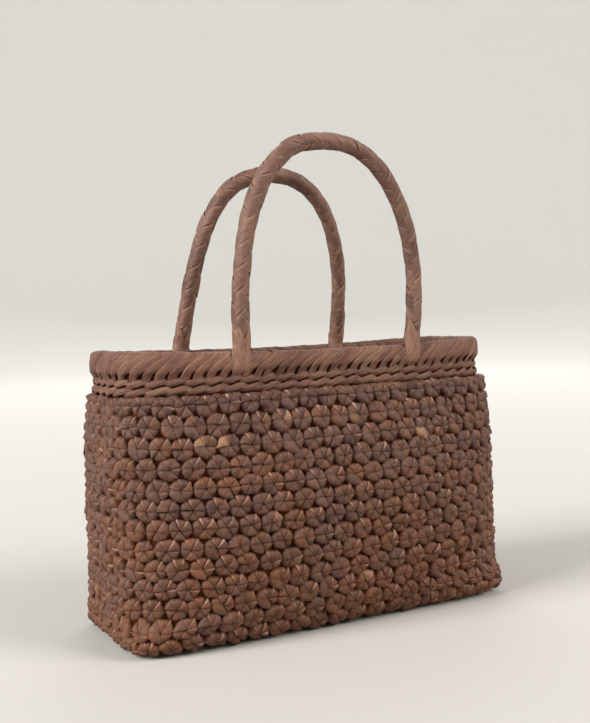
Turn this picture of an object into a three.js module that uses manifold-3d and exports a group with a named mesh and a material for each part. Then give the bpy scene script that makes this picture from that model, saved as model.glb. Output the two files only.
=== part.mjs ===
// Vine basket bag: a hollow body of knotted flower rows with an open mouth, a twined neck,
// a bound rim, and two stiff arched handles whose feet fork and straddle the rim.
// Millimetres, +Z up, front towards -Y, origin in the middle of the base on the ground.

import * as THREE from 'three';
import { mergeVertices } from 'three/addons/utils/BufferGeometryUtils.js';
import Module from 'manifold-3d';

// Outer outline of the body at each height: half width along X, half depth along Y, and the power
// of the rounded rectangle through them (2 is an ellipse, a higher power is squarer).
const BODY_LEVELS = [
  { z: 0, width: 145, depth: 53.8, power: 9 },
  { z: 3, width: 148, depth: 58.5, power: 9 },
  { z: 25, width: 152.3, depth: 70.3, power: 3.9 },
  { z: 85, width: 153.8, depth: 78.1, power: 3.1 },
  { z: 130, width: 152.2, depth: 72.3, power: 3.5 },
  { z: 165.7, width: 149.3, depth: 61.5, power: 4.2 },
];

// Flower rows of the body, from the top row down to the one that curls under the bottom edge. Rows
// above the loose row are spread upwards, the top row by the whole spread.
const FLOWER_ROWS = 13;
const FLOWERS_ROUND = 52;
const BOTTOM_ROW_HEIGHT = 5.8;
const ROW_PITCH = 12.62;
const LOOSE_ROW = 5;
const TOP_SPREAD = 2.8;
const SPREAD_POWER = 1.5;
const FLOWER_RELIEF = 2.8;
const SHOULDER_HEIGHT = 165.2;
const BOTTOM_CURL_HEIGHT = 0.6;

// Wall and floor of the body.
const WALL = 6.5;
const FLOOR = 6;
const FLOOR_INSET = 9;
const INNER_HEIGHTS = [14, 25, 50, 85, 115, 138, 150];

// Neck line: the rounded rectangle that the neck, the twining and the rim all follow.
const NECK = { width: 143, depth: 53.4, power: 3.8 };
const STAKE_THICKNESS = 2.4;
const STAKE_FOOT = 164.6;
const STAKE_FOOT_INSIDE = 160;
const SEAT_GAP = 0.3;

// Twining: two rows, each this high and this far proud of the stakes.
const TWINE_FOOT = 165.2;
const TWINE_HEIGHT = 5.5;
const TWINE_THICKNESS = 3.2;

// Rim: its foot in the middle of the long sides, and how far both ends sweep up.
const RIM_FOOT = 179.2;
const RIM_HEIGHT = 11.4;
const RIM_THICKNESS = 9.5;
const RIM_RISE = 3.6;
const RIM_SLOT_DEPTH = 5.5;

// Handles: side along Y, half span of the feet, height of the top of the centre line, how far the
// top leans along Y, power of the arch, and how far half way up the legs bow out and sway along X.
const HANDLES = [
  {
    name: 'handle_front', side: -1, span: 67.6, top: 331.6, lean: -1.8, power: 2.56, bow: 3, sway: 2.2,
  },
  {
    name: 'handle_back', side: 1, span: 67, top: 319.9, lean: -26.4, power: 2.43, bow: -1.2, sway: 2.5,
  },
];
const HANDLE_RADIUS = 6;
const HANDLE_SIDES = 10;
const HANDLE_STEPS = 40;
const STRAP_WIDTH = 13;
const STRAP_THICKNESS = 2.6;
const STRAP_GAP = 0.45;
const FORK_HEIGHT = 5;

// Colours of the aged vine bark.
const BODY_COLOUR = '#72544a';
const TWINE_COLOUR = '#75564b';
const RIM_COLOUR = '#7d5b4b';
const HANDLE_COLOUR = '#80594a';

const UP = new THREE.Vector3(0, 0, 1);
const FINE_STEPS = 1440;

// Value of one column at height z, smooth through the table's rows and without overshoot.
function smooth(rows, column, z) {
  const last = rows.length - 1;
  const height = THREE.MathUtils.clamp(z, rows[0].z, rows[last].z);
  const found = rows.findIndex((row) => row.z >= height);
  const i = Math.max(found, 1) - 1;
  const step = (k) => (rows[k + 1][column] - rows[k][column]) / (rows[k + 1].z - rows[k].z);
  const slope = (k) => {
    if (k === 0) return step(0);
    if (k === last) return step(last - 1);
    const before = step(k - 1);
    const after = step(k);
    return before * after <= 0 ? 0 : (2 * before * after) / (before + after);
  };
  const run = rows[i + 1].z - rows[i].z;
  const t = (height - rows[i].z) / run;
  const blend = t * t * (3 - 2 * t);
  const ends = rows[i][column] * (1 - blend) + rows[i + 1][column] * blend;
  return ends + run * t * (1 - t) * ((1 - t) * slope(i) - t * slope(i + 1));
}

// Rounded rectangle as a function of the share of its length, counted from the middle of the front
// towards +X.
function outline({ width, depth, power }) {
  const points = [];
  const lengths = [0];
  for (let i = 0; i <= FINE_STEPS; i += 1) {
    const angle = (2 * Math.PI * i) / FINE_STEPS - Math.PI / 2;
    const c = Math.cos(angle);
    const s = Math.sin(angle);
    const x = width * Math.sign(c) * Math.abs(c) ** (2 / power);
    const y = depth * Math.sign(s) * Math.abs(s) ** (2 / power);
    points.push(new THREE.Vector2(x, y));
    if (i > 0) lengths.push(lengths[i - 1] + points[i].distanceTo(points[i - 1]));
  }
  return (share) => {
    const wanted = (share - Math.floor(share)) * lengths[FINE_STEPS];
    const i = Math.max(lengths.findIndex((length) => length >= wanted), 1);
    const t = (wanted - lengths[i - 1]) / (lengths[i] - lengths[i - 1]);
    return points[i - 1].clone().lerp(points[i], t);
  };
}

// Outline of the body at height z, drawn in by an inset.
function bodyOutline(z, inset) {
  return outline({
    width: smooth(BODY_LEVELS, 'width', z) - inset,
    depth: smooth(BODY_LEVELS, 'depth', z) - inset,
    power: smooth(BODY_LEVELS, 'power', z),
  });
}

// Point of the neck line at a share of its length, moved outwards by an offset, with its outward
// direction.
const neckOutline = outline(NECK);
function neckPoint(share, offset) {
  const tangent = neckOutline(share + 0.001).sub(neckOutline(share - 0.001)).normalize();
  const outward = new THREE.Vector2(tangent.y, -tangent.x);
  const point = neckOutline(share).addScaledVector(outward, offset);
  return { point, outward };
}

// Sweep of the rim at a distance along X: nothing in the middle, all of it at both ends.
function rise(x) {
  return RIM_RISE * (x / NECK.width) ** 2;
}

// Triangle mesh under construction: points and faces that share them.
class Skin {
  points = [];

  faces = [];

  add(x, y, z) {
    this.points.push(x, y, z);
    return this.points.length / 3 - 1;
  }

  // Ring of points, each with its share of the way round.
  ring(count, place) {
    return Array.from({ length: count }, (_, i) => {
      const share = i / count;
      const [x, y, z] = place(share, i);
      return { share, index: this.add(x, y, z) };
    });
  }

  // Wall between two rings of any counts, zipped together by their shares of the way round.
  bridge(first, second) {
    const share = (ring, i) => ring[i % ring.length].share + Math.floor(i / ring.length);
    const index = (ring, i) => ring[i % ring.length].index;
    let i = 0;
    let j = 0;
    while (i < first.length || j < second.length) {
      const onFirst = j >= second.length
        || (i < first.length && share(first, i + 1) <= share(second, j + 1));
      const corner = onFirst ? index(first, i + 1) : index(second, j + 1);
      this.faces.push(index(first, i), index(second, j), corner);
      if (onFirst) i += 1;
      else j += 1;
    }
  }

  // Fan that closes a ring at a middle point, facing up or down.
  cap(ring, z, facingUp) {
    const middle = this.add(0, 0, z);
    ring.forEach(({ index }, i) => {
      const next = ring[(i + 1) % ring.length].index;
      if (facingUp) this.faces.push(middle, index, next);
      else this.faces.push(middle, next, index);
    });
  }

  geometry() {
    const made = new THREE.BufferGeometry();
    made.setAttribute('position', new THREE.Float32BufferAttribute(this.points, 3));
    made.setIndex(this.faces);
    made.computeVertexNormals();
    return made;
  }
}

// Solid of a closed geometry, for joining.
const wasm = await Module();
wasm.setup();
function solid(geometry) {
  const bare = geometry.clone();
  bare.deleteAttribute('normal');
  bare.deleteAttribute('uv');
  const merged = mergeVertices(bare, 1e-4);
  const vertProperties = new Float32Array(merged.attributes.position.array);
  const triVerts = new Uint32Array(merged.index.array);
  return new wasm.Manifold(new wasm.Mesh({ numProp: 3, vertProperties, triVerts }));
}

// Geometry of a joined solid.
function fromSolid(joined) {
  const { vertProperties, triVerts } = joined.getMesh();
  const made = new THREE.BufferGeometry();
  made.setAttribute('position', new THREE.BufferAttribute(new Float32Array(vertProperties), 3));
  made.setIndex(new THREE.BufferAttribute(new Uint32Array(triVerts), 1));
  made.computeVertexNormals();
  return made;
}

// Height of a flower row's middle; rows count from 1 at the top.
function rowHeight(row) {
  const above = Math.max(LOOSE_ROW - row, 0) / (LOOSE_ROW - 1);
  return BOTTOM_ROW_HEIGHT + (FLOWER_ROWS - row) * ROW_PITCH + TOP_SPREAD * above ** SPREAD_POWER;
}

// Odd rows have a flower in the middle of the front, and even rows are half a flower further on.
function rowShift(row) {
  return row % 2 === 0 ? 1 : 0;
}

// Valley line under a row (row 0 is the line above the top row): the corners of the six-sided
// flowers, alternately low under a flower and high between two.
function valleyLine(skin, row) {
  return skin.ring(2 * FLOWERS_ROUND, (share, i) => {
    const underFlower = (i - rowShift(row)) % 2 === 0;
    const drop = underFlower ? 2 / 3 : 1 / 3;
    const wanted = THREE.MathUtils.lerp(rowHeight(row), rowHeight(row + 1), drop);
    const z = THREE.MathUtils.clamp(wanted, BOTTOM_CURL_HEIGHT, SHOULDER_HEIGHT);
    const { x, y } = bodyOutline(z, FLOWER_RELIEF)(share);
    return [x, y, z];
  });
}

// One row of flowers: each a low six-sided dome between the valley lines above and below it.
function flowerRow(skin, row, above, below) {
  const z = rowHeight(row);
  const crown = bodyOutline(z, 0);
  const around = 2 * FLOWERS_ROUND;
  for (let flower = 0; flower < FLOWERS_ROUND; flower += 1) {
    const here = 2 * flower + rowShift(row);
    const right = (here + 1) % around;
    const left = (here + around - 1) % around;
    const { x, y } = crown(here / around);
    const top = skin.add(x, y, z);
    const corners = [below[right], above[right], above[here], above[left], below[left], below[here]];
    corners.forEach(({ index }, i) => {
      skin.faces.push(top, index, corners[(i + 1) % corners.length].index);
    });
  }
}

// Body: inner floor and wall, the neck of stakes, the flower rows and the flat base, in one skin.
function basketBody() {
  const skin = new Skin();
  const rim = RIM_FOOT + RIM_SLOT_DEPTH - SEAT_GAP;
  const inside = (z, inset) => {
    const line = bodyOutline(z, inset);
    return skin.ring(FLOWERS_ROUND, (share) => [...line(share).toArray(), z]);
  };
  const stakes = (offset, z, sweep) => skin.ring(FLOWERS_ROUND, (share) => {
    const { x, y } = neckPoint(share, offset).point;
    return [x, y, z + sweep * rise(x)];
  });
  const floor = inside(FLOOR, FLOOR_INSET);
  skin.cap(floor, FLOOR, true);
  const valleys = Array.from({ length: FLOWER_ROWS + 1 }, (_, row) => valleyLine(skin, row));
  const base = bodyOutline(0, FLOWER_RELIEF);
  const foot = skin.ring(FLOWERS_ROUND, (share) => [...base(share).toArray(), 0]);
  const upInside = [
    floor,
    ...INNER_HEIGHTS.map((z) => inside(z, WALL)),
    stakes(-STAKE_THICKNESS, STAKE_FOOT_INSIDE, 0),
    stakes(-STAKE_THICKNESS, rim, 1),
    stakes(0, rim, 1),
    stakes(0, STAKE_FOOT, 0),
    valleys[0],
  ];
  for (let i = 0; i + 1 < upInside.length; i += 1) skin.bridge(upInside[i], upInside[i + 1]);
  for (let row = 1; row <= FLOWER_ROWS; row += 1) flowerRow(skin, row, valleys[row - 1], valleys[row]);
  skin.bridge(valleys[FLOWER_ROWS], foot);
  skin.cap(foot, 0, false);
  return skin.geometry();
}

// Closed ring round the neck: a section of (offset, height) corners, listed from the outer foot up,
// over and down the inside, carried round the neck line.
function neckBand(section, sweep) {
  const skin = new Skin();
  const rings = section.map(([offset, z]) => skin.ring(FLOWERS_ROUND, (share) => {
    const { x, y } = neckPoint(share, offset).point;
    return [x, y, z + sweep * rise(x)];
  }));
  rings.forEach((ring, i) => skin.bridge(rings[(i + 1) % rings.length], ring));
  return skin.geometry();
}

// Twining row: a fat half-round cord that lies against the outside of the stakes.
function neckTwine(foot) {
  const inner = SEAT_GAP;
  const outer = SEAT_GAP + TWINE_THICKNESS;
  const middle = inner + 0.4 * TWINE_THICKNESS;
  const flank = inner + 0.85 * TWINE_THICKNESS;
  const top = foot + TWINE_HEIGHT;
  const shoulder = 0.16 * TWINE_HEIGHT;
  return neckBand([
    [inner, foot + shoulder / 2],
    [middle, foot],
    [flank, foot + shoulder],
    [outer, foot + TWINE_HEIGHT / 2],
    [flank, top - shoulder],
    [middle, top],
    [inner, top - shoulder / 2],
  ], 0);
}

// Rim: a rounded band with a slot underneath that the tops of the stakes stand in.
function rimSection() {
  const half = RIM_THICKNESS / 2;
  const top = RIM_FOOT + RIM_HEIGHT;
  const slotTop = RIM_FOOT + RIM_SLOT_DEPTH;
  const slotInside = -STAKE_THICKNESS - SEAT_GAP;
  const over = [
    [0.76 * half, RIM_FOOT],
    [half, RIM_FOOT + 2],
    [half, top - 4],
    [0.76 * half, top - 1],
    [0.25 * half, top],
  ];
  const back = over.map(([offset, z]) => [-offset, z]).reverse();
  const slot = [
    [slotInside, RIM_FOOT],
    [slotInside, slotTop],
    [SEAT_GAP, slotTop],
    [SEAT_GAP, RIM_FOOT],
  ];
  return [...over, ...back, ...slot];
}

// Place on the neck line nearest to a distance along X, on the front (side -1) or the back (side 1).
function neckShare(x, side) {
  let low = 0;
  let high = 0.25;
  for (let i = 0; i < 40; i += 1) {
    const middle = (low + high) / 2;
    if (neckOutline(middle).x < Math.abs(x)) low = middle;
    else high = middle;
  }
  const fromFront = x < 0 ? -low : low;
  return side < 0 ? fromFront : 0.5 - fromFront;
}

// Forked foot of a handle: two straps that run down both faces of the rim, hook in under it, and
// meet in a block on top that the braid grows from.
function forkedFoot(x, side) {
  const { point, outward } = neckPoint(neckShare(x, side), 0);
  const lift = rise(x);
  const face = RIM_THICKNESS / 2 + STRAP_GAP;
  const outer = face + STRAP_THICKNESS;
  const under = RIM_FOOT + lift - STRAP_GAP;
  const hookFoot = under - STRAP_THICKNESS;
  const over = RIM_FOOT + RIM_HEIGHT + lift + STRAP_GAP;
  const hookOutside = SEAT_GAP + STRAP_GAP;
  const hookInside = -STAKE_THICKNESS - STRAP_GAP;
  const block = HANDLE_RADIUS * 1.03;
  const shape = new THREE.Shape([
    [hookOutside, hookFoot], [outer, hookFoot], [outer, over - 3], [block, over + FORK_HEIGHT],
    [-block, over + FORK_HEIGHT], [-outer, over - 3], [-outer, hookFoot], [hookInside, hookFoot],
    [hookInside, under], [-face, under], [-face, over - 4], [-0.8 * face, over - 1],
    [-0.3 * face, over], [0.3 * face, over], [0.8 * face, over - 1], [face, over - 4],
    [face, under], [hookOutside, under],
  ].map(([offset, z]) => new THREE.Vector2(offset, z)));
  const foot = new THREE.ExtrudeGeometry(shape, { depth: STRAP_WIDTH, bevelEnabled: false });
  foot.translate(0, 0, -STRAP_WIDTH / 2);
  const out = new THREE.Vector3(outward.x, outward.y, 0);
  const frame = new THREE.Matrix4().makeBasis(out, UP, out.clone().cross(UP));
  frame.setPosition(point.x, point.y, 0);
  return foot.applyMatrix4(frame);
}

// Arch of a handle: a rounded arch in a plane that leans along Y, as a curve for the braid.
class Arch extends THREE.Curve {
  constructor({ side, span, top, lean, power, bow, sway }) {
    super();
    const foot = neckPoint(neckShare(span, side), 0).point;
    Object.assign(this, { span, lean, power, bow, sway, foot: foot.y });
    this.start = RIM_FOOT + RIM_HEIGHT + rise(span) + STRAP_GAP + 1;
    this.height = top - this.start;
  }

  getPoint(t, target = new THREE.Vector3()) {
    const c = Math.cos(Math.PI * t);
    const up = Math.sin(Math.PI * t) ** (2 / this.power);
    const out = Math.sign(c) * Math.abs(c) ** (2 / this.power);
    const halfWay = 4 * up * (1 - up);
    const x = out * (this.span + this.bow * halfWay) + this.sway * halfWay;
    return target.set(x, this.foot + this.lean * up, this.start + this.height * up);
  }
}

// Handle: the braid as a round bar along its arch, joined to a forked foot at both ends.
function handle(row) {
  const round = new THREE.Shape(Array.from({ length: HANDLE_SIDES }, (_, i) => {
    const angle = (2 * Math.PI * i) / HANDLE_SIDES;
    return new THREE.Vector2(HANDLE_RADIUS * Math.cos(angle), HANDLE_RADIUS * Math.sin(angle));
  }));
  const bar = new THREE.ExtrudeGeometry(round, { steps: HANDLE_STEPS, extrudePath: new Arch(row) });
  const feet = [-row.span, row.span].map((x) => solid(forkedFoot(x, row.side)));
  return fromSolid(feet.reduce((joined, foot) => joined.add(foot), solid(bar)));
}

const bag = new THREE.Group();
function addPiece(name, geometry, colour, roughness) {
  const material = new THREE.MeshStandardMaterial({ color: colour, roughness, metalness: 0 });
  const piece = new THREE.Mesh(geometry, material);
  piece.name = name;
  bag.add(piece);
}

addPiece('basket_body', basketBody(), BODY_COLOUR, 0.7);
addPiece('neck_twine_lower', neckTwine(TWINE_FOOT), TWINE_COLOUR, 0.7);
addPiece('neck_twine_upper', neckTwine(TWINE_FOOT + TWINE_HEIGHT + SEAT_GAP), TWINE_COLOUR, 0.7);
addPiece('rim_binding', neckBand(rimSection(), 1), RIM_COLOUR, 0.65);
HANDLES.forEach((row) => addPiece(row.name, handle(row), HANDLE_COLOUR, 0.6));

export default bag;
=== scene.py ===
"""Vine basket bag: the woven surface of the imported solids.

Shapes are worked out in millimetres in the part's own frame (X along the width, front towards -Y,
Z up) and put into meshes in metres. The body is rows of six-petalled flower knots, the neck is two
rows of twined strips on stakes, the rim is wrapped with slanting strips, and each handle is a round
braid of four flat strips that ends in straps over both faces of the rim.

Values named spread are standard deviations of random draws. Values named grain step set neighbouring
strips apart in the fibre pattern, so that no two show the same fibres.
"""

import math

import bpy
import numpy as np
from mathutils import Matrix, Vector


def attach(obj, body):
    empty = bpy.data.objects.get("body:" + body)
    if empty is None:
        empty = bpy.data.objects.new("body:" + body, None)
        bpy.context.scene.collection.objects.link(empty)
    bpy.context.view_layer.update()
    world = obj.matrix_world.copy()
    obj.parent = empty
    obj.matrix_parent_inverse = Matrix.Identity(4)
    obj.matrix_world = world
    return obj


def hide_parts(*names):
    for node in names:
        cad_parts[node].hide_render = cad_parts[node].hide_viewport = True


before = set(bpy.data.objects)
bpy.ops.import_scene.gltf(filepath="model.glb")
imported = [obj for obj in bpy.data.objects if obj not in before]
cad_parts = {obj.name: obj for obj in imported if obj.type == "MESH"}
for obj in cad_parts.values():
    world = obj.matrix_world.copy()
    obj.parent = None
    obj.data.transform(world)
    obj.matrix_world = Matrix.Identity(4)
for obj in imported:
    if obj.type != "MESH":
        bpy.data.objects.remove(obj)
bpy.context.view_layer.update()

MM = 0.001
rng = np.random.default_rng(11)

# Body outline: height, half width, half depth, and power of the rounded rectangle through them.
LEVEL_HEIGHT, LEVEL_WIDTH, LEVEL_DEPTH, LEVEL_POWER = np.array([
    (0.0, 145.0, 53.8, 9.0),
    (3.0, 148.0, 58.5, 9.0),
    (25.0, 152.3, 70.3, 3.9),
    (85.0, 153.8, 78.1, 3.1),
    (130.0, 152.2, 72.3, 3.5),
    (165.7, 149.3, 61.5, 4.2),
]).T
# Heights and insets of the shoulder, from its inner edge out to the top of the upright wall, and insets
# of the rings under the base.
SHOULDER = ((166.1, 6.5), (166.0, 4.5), (165.6, 2.6), (165.0, 1.2), (164.2, 0.5))
WALL_TOP = 163.2
BASE_INSETS = (1.5, 4.0, 8.0, 14.0, 22.0)

# Rows of flower knots. Rows above the loose row are spread upwards, the top row by the whole spread. The
# drift is how far a row lies back, towards -X on the front, from the one above it, in flowers. Every
# second row also lies half a flower along.
FLOWER_ROWS = 13
FLOWERS_ROUND = 52
BOTTOM_ROW_HEIGHT = 5.8
ROW_PITCH = 12.62
LOOSE_ROW = 5
TOP_SPREAD = 2.8
SPREAD_POWER = 1.5
ROW_DRIFT = 0.059
ROW_DRIFT_START = 0.41

# One flower: the radius that its petals are drawn with, and the step and pitch that it fits unstretched.
FLOWER_RADIUS = 8.5
FLOWER_STEP = 14.0
FLOWER_PITCH = 12.8

# Depth under the outer surface of the knots inside and of the dark layer between, and height of the floor.
WALL = 7.2
BACKING_DEPTH = 4.3
FLOOR = 6.6

# Neck line, and count and lower end of the stakes on it.
NECK_WIDTH, NECK_DEPTH, NECK_POWER = 143.0, 53.4, 3.8
STAKES_ROUND = 56
STAKE_FOOT = 162.0

# Two rows of twining, and the rim over them, which sweeps up towards both ends of the bag.
TWINE_FOOT = 165.2
TWINE_HEIGHT = 5.5
TWINE_GAP = 0.3
RIM_FOOT = 179.2
RIM_HEIGHT = 11.4
RIM_THICKNESS = 9.5
RIM_RISE = 3.6

# Handles: side along Y, half span of the feet, top of the centre line, lean of the top along Y, power
# of the arch, and how far half way up the legs bow out and sway along X.
HANDLES = {
    "handle_front": dict(side=-1, span=67.6, top=331.6, lean=-1.8, power=2.56, bow=3.0, sway=2.2),
    "handle_back": dict(side=1, span=67.0, top=319.9, lean=-26.4, power=2.43, bow=-1.2, sway=2.5),
}


def stacked(*arrays):
    """Arrays spread to one shape and put side by side on a last axis."""
    return np.stack(np.broadcast_arrays(*arrays), -1)


def smooth_through(wanted, places, values):
    """Smooth curve through a table's values at rising places.

    Between two places it is the cubic with the ends' values and slopes, where an inner slope is the
    harmonic mean of the steps on both sides, or zero where they turn round.
    """
    step = np.diff(values) / np.diff(places)
    before, after = step[:-1], step[1:]
    same_way = before * after > 0
    mean = 2 * before * after / np.where(same_way, before + after, 1.0)
    slope = np.concatenate([step[:1], np.where(same_way, mean, 0.0), step[-1:]])
    i = np.clip(np.searchsorted(places, wanted) - 1, 0, len(values) - 2)
    run = places[i + 1] - places[i]
    t = (wanted - places[i]) / run
    blend = t * t * (3 - 2 * t)
    ends = values[i] * (1 - blend) + values[i + 1] * blend
    return ends + run * t * (1 - t) * ((1 - t) * slope[i] - t * slope[i + 1])


def through_table(columns, count):
    """Smooth curves through the columns of a table, each at the same count of even steps."""
    places = np.arange(len(columns[0]), dtype=float)
    wanted = np.linspace(0.0, places[-1], count)
    return [smooth_through(wanted, places, column).reshape(1, -1, 1) for column in columns]


def circle(count):
    """Angles of even steps round a circle, as the last of three axes."""
    return np.linspace(0.0, 2 * np.pi, count + 1)[:-1].reshape(1, 1, -1)


def rounded_rectangle(width, depth, power, turn, steps=2880):
    """Points of |x / width|^power + |y / depth|^power = 1 at shares of its length.

    The length counts from the middle of the front towards +X, and is measured in many short steps.
    """
    angle = np.linspace(-0.5 * np.pi, 1.5 * np.pi, steps + 1)
    x = width * np.sign(np.cos(angle)) * np.abs(np.cos(angle)) ** (2 / power)
    y = depth * np.sign(np.sin(angle)) * np.abs(np.sin(angle)) ** (2 / power)
    length = np.concatenate([[0.0], np.cumsum(np.hypot(np.diff(x), np.diff(y)))])
    wanted = (turn % 1.0) * length[-1]
    return np.stack([np.interp(wanted, length, x), np.interp(wanted, length, y)], -1)


class Wall:
    """Outer surface of the body, looked up by turn and drop.

    Turn is the share of the way round from the middle of the front, and drop is the length in mm down
    the wall from the inner edge of the shoulder, round the bottom edge and on under the base. The
    surface is kept on a grid and read between its points by straight interpolation.
    """

    turns = 780
    levels = 116

    def __init__(self):
        heights = np.linspace(WALL_TOP, 0.0, self.levels)
        path = [*SHOULDER, *((z, 0.0) for z in heights), *((0.0, inset) for inset in BASE_INSETS)]
        share = np.arange(self.turns) / self.turns
        rings = []
        for z, inset in path:
            width, depth, power = (
                smooth_through(z, LEVEL_HEIGHT, column)
                for column in (LEVEL_WIDTH, LEVEL_DEPTH, LEVEL_POWER)
            )
            flat = rounded_rectangle(width - inset, depth - inset, power, share)
            rings.append(np.column_stack([flat, np.full(self.turns, z)]))
        self.points = np.array(rings)
        front = self.points[:, 0]
        steps = np.linalg.norm(np.diff(front, axis=0), axis=1)
        self.drops = np.concatenate([[0.0], np.cumsum(steps)])
        self.heights = front[:, 2]
        along = np.roll(self.points, -1, 1) - np.roll(self.points, 1, 1)
        down = np.gradient(self.points, axis=0)
        normals = np.cross(down, along)
        self.normals = normals / np.linalg.norm(normals, axis=2, keepdims=True)
        ring_steps = np.linalg.norm(np.roll(self.points, -1, 1) - self.points, axis=2)
        self.girths = ring_steps.sum(1)

    def drop_of(self, height):
        """Drop at a height on the upright part of the wall."""
        return np.interp(-height, -self.heights, self.drops)

    def girth_at(self, drop):
        """Length of the ring round the body at a drop."""
        return np.interp(drop, self.drops, self.girths)

    def at(self, turn, drop, lift):
        """Points at (turn, drop), moved out along the normal by lift."""
        column = (turn % 1.0) * self.turns
        row = np.interp(drop, self.drops, np.arange(len(self.drops)))
        i = np.minimum(row.astype(int), len(self.drops) - 2)
        j = column.astype(int) % self.turns
        s = (row - i)[..., None]
        t = (column - np.floor(column))[..., None]
        k = (j + 1) % self.turns

        def read(grid):
            upper = grid[i, j] * (1 - t) + grid[i, k] * t
            lower = grid[i + 1, j] * (1 - t) + grid[i + 1, k] * t
            return upper * (1 - s) + lower * s

        normal = read(self.normals)
        normal /= np.linalg.norm(normal, axis=-1, keepdims=True)
        return read(self.points) + np.asarray(lift)[..., None] * normal


class NeckLine:
    """Line that the neck follows: a rounded rectangle with its outward direction at every turn."""

    steps = 1440

    def __init__(self):
        self.turn = np.linspace(0.0, 1.0, self.steps + 1)
        self.flat = rounded_rectangle(NECK_WIDTH, NECK_DEPTH, NECK_POWER, self.turn)
        self.flat[-1] = self.flat[0]
        along = np.roll(self.flat[:-1], -1, 0) - np.roll(self.flat[:-1], 1, 0)
        along = np.concatenate([along, along[:1]])
        along /= np.linalg.norm(along, axis=1, keepdims=True)
        self.outward = np.column_stack([along[:, 1], -along[:, 0]])
        self.length = np.linalg.norm(np.diff(self.flat, axis=0), axis=1).sum()

    def at(self, turn, offset, height):
        """Points at a turn, moved outwards by offset, at a height."""
        t = turn % 1.0
        flat = [
            np.interp(t, self.turn, self.flat[:, axis])
            + offset * np.interp(t, self.turn, self.outward[:, axis])
            for axis in (0, 1)
        ]
        return stacked(*flat, height)

    def rise(self, turn):
        """Sweep of the rim at a turn: the square of x over the half width, so all of it at both ends."""
        x = np.interp(turn % 1.0, self.turn, self.flat[:, 0])
        return RIM_RISE * (x / NECK_WIDTH) ** 2

    def turn_of(self, x, side):
        """Turn where the line passes x on the front (side -1) or the back (side 1)."""
        quarter = self.turn <= 0.25
        share = np.interp(abs(x), self.flat[quarter, 0], self.turn[quarter])
        from_front = math.copysign(share, x)
        return from_front if side < 0 else 0.5 - from_front


wall = Wall()
neck = NeckLine()


def linear(hex_colour):
    """Linear red, green, blue and alpha of an sRGB hex colour."""
    channels = np.array([int(hex_colour[i:i + 2], 16) for i in (1, 3, 5)]) / 255
    low = channels / 12.92
    high = ((channels + 0.055) / 1.055) ** 2.4
    return (*np.where(channels <= 0.04045, low, high), 1.0)


def add_node(tree, kind, inputs=None, **settings):
    """Adds a node with its settings, and gives each of its inputs a value or a link."""
    node = tree.nodes.new(kind)
    for name, value in settings.items():
        setattr(node, name, value)
    for name, value in (inputs or {}).items():
        if isinstance(value, bpy.types.NodeSocket):
            tree.links.new(value, node.inputs[name])
        else:
            node.inputs[name].default_value = value
    return node


# Fibres of the bark, about three times as wide as real ones, because finer ones don't show.
GRAIN_WIDTH = 1.1
GRAIN_LENGTH = 13.0
GRAIN_HEIGHT = 0.35
# Small blotches and broad weathered patches: size, and share in the tone. Blotches also stand out of the
# strip, by a number of times the fibres' height.
BLOTCH_SIZE, BLOTCH_SHARE, BLOTCH_RELIEF = 3.0, 0.4, 2.0
PATCH_SIZE, PATCH_SHARE = 34.0, 0.8
# How much darker furrows between the fibres are, and how much lighter ridges are, at full streaks.
FURROW_DARKER, RIDGE_LIGHTER = 0.5, 0.2


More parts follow.
